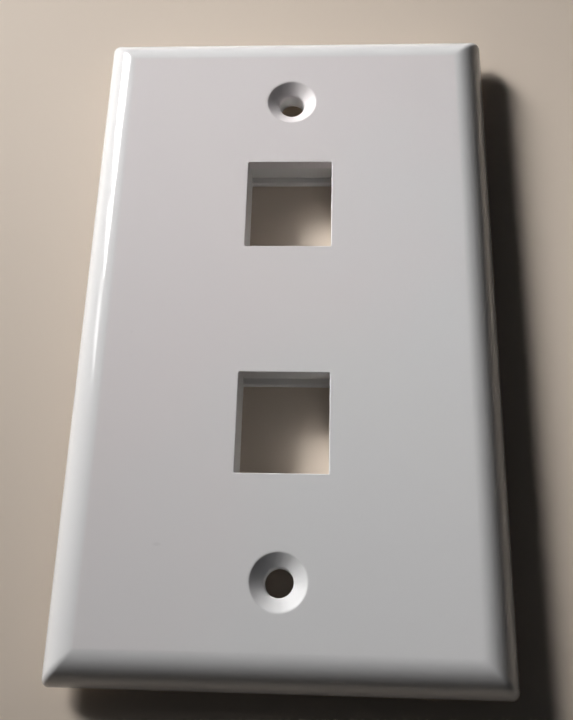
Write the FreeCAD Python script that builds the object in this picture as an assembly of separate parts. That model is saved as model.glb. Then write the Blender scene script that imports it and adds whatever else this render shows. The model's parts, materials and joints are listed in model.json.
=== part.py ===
import FreeCAD, Part
import math
import os

from FreeCAD import Vector

os.makedirs("parts", exist_ok=True)

# Two-port keystone faceplate for a single-gang wall box, moulded in one piece.
# The back of the rim lies on the wall plane z = 0, centred on the box, and the face looks along +Z.
# The long side runs along Y, with the end that carries the lug side of the ports at +Y.
# All sizes are in millimetres.

# Plate
plate_width = 69.85
plate_height = 114.3
face_height = 5.3
wall_thickness = 2.0
border_radius = 5.6
side_draft = 10.0
mitre_rounding = 1.1
rim_rounding = 0.2

# Screw holes, for number 6 oval-head screws
screw_spacing = 83.34
screw_hole_radius = 2.2
countersink_radius = 4.34
countersink_depth = 1.35
bore_rim_rounding = 0.25
boss_radius = 4.3
boss_length = 2.3

# Ports, each a housing behind a rectangular opening
port_spacing = 38.56
port_offset = 1.76
port_width = 14.5
port_height = 16.2
port_corner_radius = 0.2
housing_depth = 8.0
housing_wall = 1.5
housing_corner_radius = 1.0

# Lug side of a port: a pocket behind the face, closed at the back by a ledge
lug_pocket_depth = 1.2
ledge_thickness = 1.0
ledge_rounding = 0.3

# Latch side of a port: a deeper recess with a hooked catch and a lead-in ramp
latch_land = 3.2
latch_recess_depth = 4.0
catch_overhang = 2.0
catch_length = 2.0
catch_tip_land = 0.4

# Stiffening ribs and ejector pads on the back of the face
rib_thickness = 1.2
rib_setback = 1.0
pad_radius = 2.5
pad_height = 0.2

# Where a port or a countersink breaks the face
opening_rounding = 0.15

# How far cutters run past what they cut, and how close an edge lies to the plane it is looked for on
overrun = 1.0
closeness = 0.001

# Derived places
ceiling = face_height - wall_thickness
mid_wall = face_height - wall_thickness / 2
bore_top = face_height - countersink_depth
boss_back = ceiling - boss_length
housing_back = face_height - housing_depth
opening_edge = port_height / 2
lug_side = opening_edge + lug_pocket_depth
latch_side = opening_edge + latch_recess_depth
port_places = [port_offset - port_spacing / 2, port_offset + port_spacing / 2]
screw_places = [-screw_spacing / 2, screw_spacing / 2]
cross_rib_places = sorted(screw_places + port_places + [0])

# The border leaves the flat face as one wide round, which ends in a short straight side with some
# draft. The side meets the wall plane on the outline of the plate.
upward = Vector(0, 0, 1)
outward = Vector(1, 0, 0)
draft = math.radians(side_draft)
side_normal = outward * math.cos(draft) + upward * math.sin(draft)
down_side = outward * math.sin(draft) - upward * math.cos(draft)
border_centre_height = face_height - border_radius
side_top = border_centre_height + border_radius * side_normal.z
border_reach = border_radius * side_normal.x + side_top * math.tan(draft)


def bordered_bar(half_span, length, inset):
    # A bar along Y with a flat top and a border down each side. Half of its section is drawn, from the
    # middle of the face round to the middle of the foot, and mirrored.
    radius = border_radius - inset
    centre = Vector(half_span - border_reach, 0, border_centre_height)
    halfway = (upward + side_normal).normalize()
    points = [centre + direction * radius for direction in (upward, halfway, side_normal)]
    border = Part.Arc(*points).toShape()
    side_end = points[-1] + down_side * ((points[-1].z + overrun) / -down_side.z)
    straight_sides = Part.makePolygon([
        points[-1],
        side_end,
        Vector(0, 0, -overrun),
        Vector(0, 0, face_height - inset),
        points[0],
    ])
    half_bar = Part.Face(Part.Wire([border] + straight_sides.Edges)).extrude(Vector(0, length, 0))
    half_bar.translate(Vector(0, -length / 2, 0))
    return half_bar.fuse(half_bar.mirror(Vector(0, 0, 0), outward)).removeSplitter()


def bordered_block(inset):
    # Two crossed bars share a block whose border meets in a mitre at each corner. It runs on a little way
    # behind the wall plane. The inset draws the whole outside in, so that walls keep one thickness.
    long_bar = bordered_bar(plate_width / 2, plate_height + 2 * overrun, inset)
    cross_bar = bordered_bar(plate_height / 2, plate_width + 2 * overrun, inset)
    cross_bar.rotate(Vector(0, 0, 0), upward, 90)
    return long_bar.common(cross_bar)


def rounded_block(x_low, x_high, y_low, y_high, z_low, z_high, radius):
    block = Part.makeBox(x_high - x_low, y_high - y_low, z_high - z_low, Vector(x_low, y_low, z_low))
    upright = [edge for edge in block.Edges if abs(edge.tangentAt(edge.FirstParameter).z) > 0.5]
    return block.makeFillet(radius, upright)


def mitre_edges(shape):
    # The ridges that climb to the corners of the flat face
    found = []
    for edge in shape.Edges:
        middle = edge.valueAt((edge.FirstParameter + edge.LastParameter) / 2)
        from_long_side = plate_width / 2 - abs(middle.x)
        from_short_side = plate_height / 2 - abs(middle.y)
        if abs(from_long_side - from_short_side) < closeness:
            found.append(edge)
    return found


def shell():
    # The flat face, its border with rounded mitres and the rim, open at the back
    outside = bordered_block(0)
    outside = outside.makeFillet(mitre_rounding, mitre_edges(outside))
    corner = Vector(-plate_width / 2, -plate_height / 2, 0)
    before_wall = Part.makeBox(plate_width, plate_height, face_height, corner)
    return outside.common(before_wall).cut(bordered_block(wall_thickness))


def housing(y_centre):
    half_width = port_width / 2 + housing_wall
    y_low = y_centre - latch_side - housing_wall
    y_high = y_centre + lug_side + housing_wall
    return rounded_block(-half_width, half_width, y_low, y_high,
                         housing_back, mid_wall, housing_corner_radius)


def screw_boss(y_centre):
    return Part.makeCylinder(boss_radius, mid_wall - boss_back, Vector(0, y_centre, boss_back))


def ribs():
    # Long ribs carry on the side walls of the housings. Cross ribs brace the screw bosses, the housings
    # and the middle of the plate.
    long_rib_place = (port_width + housing_wall) / 2
    grid = []
    for x_centre in (-long_rib_place, long_rib_place):
        corner = Vector(x_centre - rib_thickness / 2, -plate_height / 2, rib_setback)
        grid.append(Part.makeBox(rib_thickness, plate_height, mid_wall - rib_setback, corner))
    for y_centre in cross_rib_places:
        corner = Vector(-plate_width / 2, y_centre - rib_thickness / 2, rib_setback)
        grid.append(Part.makeBox(plate_width, rib_thickness, mid_wall - rib_setback, corner))
    return grid


def ejector_pads():
    # Low discs left by the ejector pins, one in the middle of each side bay
    x_centre = (port_width / 2 + housing_wall + plate_width / 2 - wall_thickness) / 2
    pads = []
    for low_rib, high_rib in zip(cross_rib_places, cross_rib_places[1:]):
        y_centre = (low_rib + high_rib) / 2
        for x_side in (-x_centre, x_centre):
            foot = Vector(x_side, y_centre, ceiling - pad_height)
            pads.append(Part.makeCylinder(pad_radius, mid_wall - ceiling + pad_height, foot))
    return pads


def across_port(outline, y_centre):
    # Carries a closed outline, drawn on the plane of Y and Z, from one side wall of a port to the other
    block = Part.Face(outline).extrude(Vector(port_width, 0, 0))
    block.translate(Vector(-port_width / 2, y_centre, 0))
    return block


def lug_pocket(y_centre):
    # Room for the fixed lug of a jack, with the front edge of its ledge rounded
    ledge_front = housing_back + ledge_thickness
    inner_edge = opening_edge - overrun
    arc_centre = Vector(0, opening_edge + ledge_rounding, ledge_front - ledge_rounding)
    arc_start = arc_centre - Vector(0, ledge_rounding, 0)
    arc_middle = arc_centre + Vector(0, -1, 1).normalize() * ledge_rounding
    arc_end = arc_centre + Vector(0, 0, ledge_rounding)
    ledge_arc = Part.Arc(arc_start, arc_middle, arc_end).toShape()
    straight_sides = Part.makePolygon([
        arc_end,
        Vector(0, lug_side, ledge_front),
        Vector(0, lug_side, ceiling),
        Vector(0, inner_edge, ceiling),
        Vector(0, inner_edge, arc_start.z),
        arc_start,
    ])
    return across_port(Part.Wire([ledge_arc] + straight_sides.Edges), y_centre)


def latch_recess(y_centre):
    # Room for the spring latch of a jack. The catch hooks the latch and has a ramp to lead it in.
    recess_front = face_height - latch_land
    catch_front = housing_back + catch_length
    catch_tip = latch_side - catch_overhang
    ramp_start = catch_front - catch_tip_land
    ramp_end = catch_tip + ramp_start - housing_back
    inner_edge = opening_edge - overrun
    outline = Part.makePolygon([
        Vector(0, -inner_edge, recess_front),
        Vector(0, -latch_side, recess_front),
        Vector(0, -latch_side, catch_front),
        Vector(0, -catch_tip, catch_front),
        Vector(0, -catch_tip, ramp_start),
        Vector(0, -ramp_end, housing_back),
        Vector(0, -ramp_end, housing_back - overrun),
        Vector(0, -inner_edge, housing_back - overrun),
        Vector(0, -inner_edge, recess_front),
    ])
    return across_port(outline, y_centre)


def port_cutter(y_centre):
    opening = rounded_block(-port_width / 2, port_width / 2, y_centre - opening_edge, y_centre + opening_edge,
                            housing_back - overrun, face_height + overrun, port_corner_radius)
    return opening.fuse([lug_pocket(y_centre), latch_recess(y_centre)])


def edges_at(shape, height):
    found = []
    for edge in shape.Edges:
        box = edge.BoundBox
        if abs(box.ZMin - height) < closeness and abs(box.ZMax - height) < closeness:
            found.append(edge)
    return found


def screw_cutter(y_centre):
    # Half of the section through a countersunk hole, turned once round its axis
    half_section = Part.makePolygon([
        Vector(0, 0, boss_back - overrun),
        Vector(screw_hole_radius, 0, boss_back - overrun),
        Vector(screw_hole_radius, 0, bore_top),
        Vector(countersink_radius, 0, face_height),
        Vector(countersink_radius, 0, face_height + overrun),
        Vector(0, 0, face_height + overrun),
        Vector(0, 0, boss_back - overrun),
    ])
    cutter = Part.Face(half_section).revolve(Vector(0, 0, 0), upward, 360)
    cutter = cutter.makeFillet(bore_rim_rounding, edges_at(cutter, bore_top))
    cutter.translate(Vector(0, y_centre, 0))
    return cutter


def within(edge, half_width, half_height):
    middle = edge.CenterOfMass
    return abs(middle.x) < half_width and abs(middle.y) < half_height


def face_opening_edges(shape):
    # Where the ports and the countersinks break the face, without the outline of the flat face itself
    flat_half_width = plate_width / 2 - border_reach - closeness
    flat_half_height = plate_height / 2 - border_reach - closeness
    return [edge for edge in edges_at(shape, face_height) if within(edge, flat_half_width, flat_half_height)]


def rim_foot_edges(shape):
    # The outer outline of the rim on the wall plane, without the inner one
    inner_half_width = plate_width / 2 - wall_thickness / 2
    inner_half_height = plate_height / 2 - wall_thickness / 2
    return [edge for edge in edges_at(shape, 0) if not within(edge, inner_half_width, inner_half_height)]


# What stands on the back of the face is kept inside the middle of the wall all round
room = bordered_block(wall_thickness / 2)
backing = [piece.common(room) for piece in ribs() + ejector_pads() + [screw_boss(y) for y in screw_places]]
housings = [housing(y) for y in port_places]
cutters = [port_cutter(y) for y in port_places] + [screw_cutter(y) for y in screw_places]
faceplate = shell().fuse(backing + housings).cut(cutters).removeSplitter()

faceplate = faceplate.makeFillet(opening_rounding, face_opening_edges(faceplate))
faceplate = faceplate.makeFillet(rim_rounding, rim_foot_edges(faceplate))
faceplate.exportStep("parts/faceplate.step")
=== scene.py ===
import json
import math

import bpy
from mathutils import Matrix, Vector


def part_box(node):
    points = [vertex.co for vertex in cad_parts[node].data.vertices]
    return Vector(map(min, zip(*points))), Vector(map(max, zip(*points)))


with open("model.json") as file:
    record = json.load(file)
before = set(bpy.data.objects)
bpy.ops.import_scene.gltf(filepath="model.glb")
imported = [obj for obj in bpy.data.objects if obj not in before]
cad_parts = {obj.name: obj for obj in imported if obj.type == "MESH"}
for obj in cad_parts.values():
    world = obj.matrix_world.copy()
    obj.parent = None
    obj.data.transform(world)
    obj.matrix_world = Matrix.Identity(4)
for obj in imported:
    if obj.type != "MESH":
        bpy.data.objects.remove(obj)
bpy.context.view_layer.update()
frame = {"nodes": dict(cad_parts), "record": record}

mm = 0.001
scene = bpy.context.scene
faceplate = frame["nodes"]["faceplate"]
lowCorner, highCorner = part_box("faceplate")
faceHeight = highCorner.z / mm      # the flat face, above the wall plane
floorHeight = lowCorner.z           # the port housings stand on the floor
mounts = {mount["name"]: mount for mount in frame["record"]["mounts"]}
screwPlace = mounts["screw_hole_upper"]["pos_m"][1] / mm      # the same distance down to the lower one
print("Frame loaded, faceplate has", len(faceplate.data.polygons), "faces")


class NodeBuilder:
    # Adds shader nodes and links or sets their inputs in one go
    def __init__(self, tree):
        self.tree = tree

    def add(self, kind, inputs=None, **settings):
        node = self.tree.nodes.new(kind)
        for name, value in settings.items():
            setattr(node, name, value)
        for name, value in (inputs or {}).items():
            self.plug(value, node.inputs[name])
        return node

    def plug(self, value, socket):
        if isinstance(value, bpy.types.NodeSocket):
            self.tree.links.new(value, socket)
        else:
            socket.default_value = value

    def math(self, operation, first, second):
        return self.add("ShaderNodeMath", {0: first, 1: second}, operation=operation).outputs[0]

    def vector(self, operation, first, second=(0.0, 0.0, 0.0), output=0):
        return self.add("ShaderNodeVectorMath", {0: first, 1: second}, operation=operation).outputs[output]

    def ramp(self, value, low, high, toLow=0.0, toHigh=1.0):
        inputs = {"Value": value, "From Min": low, "From Max": high, "To Min": toLow, "To Max": toHigh}
        return self.add("ShaderNodeMapRange", inputs, interpolation_type="SMOOTHSTEP").outputs["Result"]

    def noise(self, place, scale, detail=2.0):
        inputs = {"Vector": place, "Scale": scale, "Detail": detail}
        return self.add("ShaderNodeTexNoise", inputs).outputs["Fac"]

    def mixColor(self, amount, first, second):
        node = self.add("ShaderNodeMix", data_type="RGBA")
        for index, value in ((0, amount), (6, first), (7, second)):
            self.plug(value, node.inputs[index])
        return node.outputs[2]

    def mixValue(self, amount, first, second):
        node = self.add("ShaderNodeMix", data_type="FLOAT")
        for index, value in ((0, amount), (2, first), (3, second)):
            self.plug(value, node.inputs[index])
        return node.outputs[0]

    def bump(self, height, distance, normal):
        inputs = {"Strength": 1.0, "Distance": distance * mm, "Height": height, "Normal": normal}
        return self.add("ShaderNodeBump", inputs).outputs[0]


# White moulded plastic. Lengths are in millimetres.
whitePlastic = {
    "warmColor": (0.812, 0.768, 0.768, 1.0),
    "coolColor": (0.785, 0.781, 0.781, 1.0),
    "backColor": (0.775, 0.765, 0.752, 1.0),
    "refraction": 1.53,
    "driftDirection": (0.8, -0.6, 0.0),     # the way the warm white turns to the cool one
    "driftSize": 30.0,                      # how wide the uneven patches of that change are
    "driftWander": 60.0,                    # how far along that way they move it, at most
    "driftRange": (10.0, 60.0),             # where it begins and ends, with the patches added in
    "borderInside": (29.3, 51.5),           # where the rounded border starts, across and along
    "borderBlend": 0.6,                     # half the width over which its finish comes in
    "cutterDepth": (0.02, 0.12),            # below the face, the finish turns dull between these
    "backDepth": (1.8, 2.2),                # and between these it turns to that of the back
    "backFacing": -0.3,                     # what looks down more than this is back too
    "polishedRoughness": 0.09,
    "cutterRoughness": 0.58,                # countersinks and port edges, less polished in the mould
    "backRoughness": 0.45,
    "flatSoftness": 0.12,                   # how far the shading of an edge is softened
    "borderSoftness": 0.70,
    "coneSoftness": 0.50,
    "coneReach": 5.5,                       # just past the edge of a countersink, from its middle
    "coneBlend": 0.5,
    "edgeSamples": 8,                       # more are smoother and slower
    "waveSize": 7.0,                        # slow waviness of the polished face
    "waveHeight": 0.0012,
    "grainSize": 0.30,                      # spark-eroded texture of the hidden surfaces
    "grainHeight": 0.012,
    "smearScale": 0.12,                     # faint smears, which change the gloss a little
    "smearRange": (0.3, 0.7),
    "smearChange": (0.85, 1.2),
    "scratchStretch": [(0.06, 5.0, 1.0), (4.0, 0.09, 1.0)],     # across and along the plate
    "scratchRange": (0.66, 0.74),
    "scratchRoughness": 0.05,               # faint handling scratches in the gloss
    # faint grey marks: place across and along, half length, half width, darkness
    "marks": [(-25.1, -2.7, 0.35, 0.30, 0.05), (-18.3, -36.6, 0.90, 0.35, 0.09)],
    "markColor": (0.25, 0.24, 0.23, 1.0),
    "markEdge": (1.0, 0.3),                 # a mark fades in between these shares of its size
}


def makeWhitePlastic(look):
    material = bpy.data.materials.new("whitePlastic")
    material.use_nodes = True
    tree = material.node_tree
    tree.nodes.clear()
    build = NodeBuilder(tree)
    output = build.add("ShaderNodeOutputMaterial")
    shader = build.add("ShaderNodeBsdfPrincipled")
    shader.inputs["IOR"].default_value = look["refraction"]
    build.plug(shader.outputs[0], output.inputs[0])

    # Places on the plate in millimetres, and the way its surface faces
    objectPlace = build.add("ShaderNodeTexCoord").outputs["Object"]
    place = build.vector("SCALE", objectPlace)
    place.node.inputs["Scale"].default_value = 1 / mm
    normal = build.add("ShaderNodeNewGeometry").outputs["True Normal"]
    height = build.add("ShaderNodeSeparateXYZ", {0: place}).outputs["Z"]
    facing = build.add("ShaderNodeSeparateXYZ", {0: normal}).outputs["Z"]

    # The rounded border, and its outer skin as against the walls behind it
    fromMiddle = build.add("ShaderNodeSeparateXYZ", {0: build.vector("ABSOLUTE", place)})
    pastSide = build.math("SUBTRACT", fromMiddle.outputs["X"], look["borderInside"][0])
    pastEnd = build.math("SUBTRACT", fromMiddle.outputs["Y"], look["borderInside"][1])
    blend = look["borderBlend"]
    border = build.ramp(build.math("MAXIMUM", pastSide, pastEnd), -blend, blend)
    flatPlace = build.vector("MULTIPLY", place, (1.0, 1.0, 0.0))
    outward = build.math("GREATER_THAN", build.vector("DOT_PRODUCT", normal, flatPlace, output=1), 0.0)
    skin = build.math("MULTIPLY", border, outward)
    notSkin = build.math("SUBTRACT", 1.0, skin)

    # Where each finish lies: recesses in the face, and everything behind it
    recessTop, recessFull = (faceHeight - depth for depth in look["cutterDepth"])
    backTop, backFull = (faceHeight - depth for depth in look["backDepth"])
    recess = build.math("MULTIPLY", build.ramp(height, recessTop, recessFull), notSkin)
    deep = build.math("MULTIPLY", build.ramp(height, backTop, backFull), notSkin)
    behind = build.math("MAXIMUM", deep, build.math("LESS_THAN", facing, look["backFacing"]))

    # The white is a little warmer at the upper left and drifts to neutral at the lower right
    along = build.vector("DOT_PRODUCT", place, look["driftDirection"], output=1)
    patches = build.noise(place, 1 / look["driftSize"])
    drift = build.math("ADD", along, build.math("MULTIPLY", patches, look["driftWander"]))
    neutral = build.math("MAXIMUM", build.ramp(drift, *look["driftRange"]), border)
    color = build.mixColor(neutral, look["warmColor"], look["coolColor"])
    for across, up, halfLength, halfWidth, darkness in look["marks"]:
        apart = build.vector("SUBTRACT", flatPlace, (across, up, 0.0))
        apart = build.vector("MULTIPLY", apart, (1 / halfLength, 1 / halfWidth, 0.0))
        spot = build.ramp(build.vector("LENGTH", apart, output=1), *look["markEdge"], 0.0, darkness)
        color = build.mixColor(spot, color, look["markColor"])
    color = build.mixColor(behind, color, look["backColor"])
    build.plug(color, shader.inputs["Base Color"])

    # Gloss: faint smears and fine scratches on the face, duller in the recesses and behind
    smears = build.noise(place, look["smearScale"], detail=4.0)
    glossy, dull = (look["polishedRoughness"] * change for change in look["smearChange"])
    roughness = build.ramp(smears, *look["smearRange"], glossy, dull)
    for stretch in look["scratchStretch"]:
        lines = build.noise(build.vector("MULTIPLY", place, stretch), 1.0, detail=3.0)
        scratches = build.ramp(lines, *look["scratchRange"], 0.0, look["scratchRoughness"])
        roughness = build.math("ADD", roughness, scratches)
    roughness = build.mixValue(recess, roughness, look["cutterRoughness"])
    roughness = build.mixValue(behind, roughness, look["backRoughness"])
    build.plug(roughness, shader.inputs["Roughness"])

    # Softened edges, the slow waviness of the moulding and the fine grain behind
    toScrew = build.vector("SUBTRACT", build.vector("ABSOLUTE", flatPlace), (0.0, screwPlace, 0.0))
    reach = look["coneReach"]
    cone = build.ramp(build.vector("LENGTH", toScrew, output=1), reach, reach - look["coneBlend"])
    softness = build.mixValue(cone, look["flatSoftness"] * mm, look["coneSoftness"] * mm)
    softness = build.mixValue(skin, softness, look["borderSoftness"] * mm)
    softEdges = build.add("ShaderNodeBevel", {"Radius": softness}, samples=look["edgeSamples"]).outputs[0]
    wave = build.bump(build.noise(place, 1 / look["waveSize"], detail=1.0), look["waveHeight"], softEdges)
    grain = build.math("MULTIPLY", build.noise(place, 1 / look["grainSize"], detail=3.0), behind)
    build.plug(build.bump(grain, look["grainHeight"], wave), shader.inputs["Normal"])
    return material


def dress(piece, material):
    if not piece.material_slots:
        piece.data.materials.append(material)
    for slot in piece.material_slots:
        slot.material = material


dress(faceplate, makeWhitePlastic(whitePlastic))
print("White plastic on the faceplate")


floor = {"size": 3.0, "color": (0.70, 0.60, 0.50, 1.0), "roughness": 0.7}


def makeFloor(look):
    half = look["size"] / 2
    mesh = bpy.data.meshes.new("floor")
    corners = [(x * half, y * half, floorHeight) for x, y in ((-1, -1), (1, -1), (1, 1), (-1, 1))]
    mesh.from_pydata(corners, [], [(0, 1, 2, 3)])
    material = bpy.data.materials.new("paleFloor")
    material.use_nodes = True
    shader = material.node_tree.nodes["Principled BSDF"]
    shader.inputs["Base Color"].default_value = look["color"]
    shader.inputs["Roughness"].default_value = look["roughness"]
    mesh.materials.append(material)
    piece = bpy.data.objects.new("floor", mesh)
    scene.collection.objects.link(piece)


makeFloor(floor)
print("Floor laid at", round(floorHeight / mm, 2), "mm")


# A low window to the upper left of the plate, as two sets of soft lights. The near ones all aim
# at one spot, so their light fades slowly away from it. The far one, from the same side, lights
# the plate and the floor around it more evenly.
windowDirection = (-0.68, 0.57, 0.462)
windowColor = (1.0, 0.99, 0.985)
nearWindow = {
    "distance": 0.6,
    "aim": (0.022, 0.023, 0.0),
    "spread": 31.4,                 # degrees
    "radiance": 0.76,
    # each part across the light in metres: left, right, bottom, top, columns, rows, strength
    "parts": [
        (-0.126, 0.040, -0.110, 0.095, 2, 3, 1.0),
        (0.040, 0.078, 0.005, 0.095, 1, 1, 1.0),        # something stands on the sill here
        (0.078, 0.094, -0.060, 0.095, 1, 2, 1.0),
        (0.117, 0.186, -0.015, 0.120, 1, 2, 0.3),
    ],
}
farWindow = {
    "distance": 2.0,
    "aim": (0.0, 0.0, 0.0),
    "spread": 180.0,
    "radiance": 41.0,
    "parts": [(-0.25, 0.12, -0.25, 0.25, 1, 1, 1.0)],
}
roomLight = {"color": (0.90, 0.94, 1.0, 1.0), "strength": 0.02}


def makeWindow(name, look):
    toward = Vector(windowDirection).normalized()
    across = Vector((0, 0, 1)).cross(toward).normalized()
    upward = toward.cross(across)
    middle = toward * look["distance"]
    for left, right, bottom, top, columns, rows, strength in look["parts"]:
        width = (right - left) / columns
        height = (top - bottom) / rows
        for column in range(columns):
            for row in range(rows):
                light = bpy.data.lights.new(name, "AREA")
                light.shape = "RECTANGLE"
                light.size = width
                light.size_y = height
                light.spread = math.radians(look["spread"])
                light.color = windowColor
                light.energy = look["radiance"] * strength * math.pi * width * height
                piece = bpy.data.objects.new(name, light)
                spot = middle + across * (left + (column + 0.5) * width)
                spot += upward * (bottom + (row + 0.5) * height)
                backward = (spot - Vector(look["aim"])).normalized()
                side = upward.cross(backward).normalized()
                turn = Matrix((side, backward.cross(side), backward)).transposed().to_4x4()
                piece.matrix_world = Matrix.Translation(spot) @ turn
                scene.collection.objects.link(piece)


def makeRoomLight(look):
    world = bpy.data.worlds.new("room")
    world.use_nodes = True
    background = world.node_tree.nodes["Background"]
    background.inputs["Color"].default_value = look["color"]
    background.inputs["Strength"].default_value = look["strength"]
    scene.world = world


makeWindow("nearWindow", nearWindow)
makeWindow("farWindow", farWindow)
makeRoomLight(roomLight)
scene.view_settings.view_transform = "Standard"
print("Lights set")


camera = {
    "place": (0.00724, -0.05042, 0.12866),
    "look": (-0.0529, 0.3291, -0.9428),
    "up": (-0.009, 0.9439, 0.33),
    "lens": 41.0,
    "sensor": 36.0,
    "nearest": 0.005,
}


def makeCamera(look):
    forward = Vector(look["look"]).normalized()
    right = forward.cross(Vector(look["up"])).normalized()
    upward = right.cross(forward)
    data = bpy.data.cameras.new("camera")
    data.lens = look["lens"]
    data.sensor_width = look["sensor"]
    data.sensor_fit = "AUTO"
    data.clip_start = look["nearest"]
    piece = bpy.data.objects.new("camera", data)
    turn = Matrix((right, upward, -forward)).transposed().to_4x4()
    piece.matrix_world = Matrix.Translation(look["place"]) @ turn
    scene.collection.objects.link(piece)
    scene.camera = piece


makeCamera(camera)
print("Camera placed")
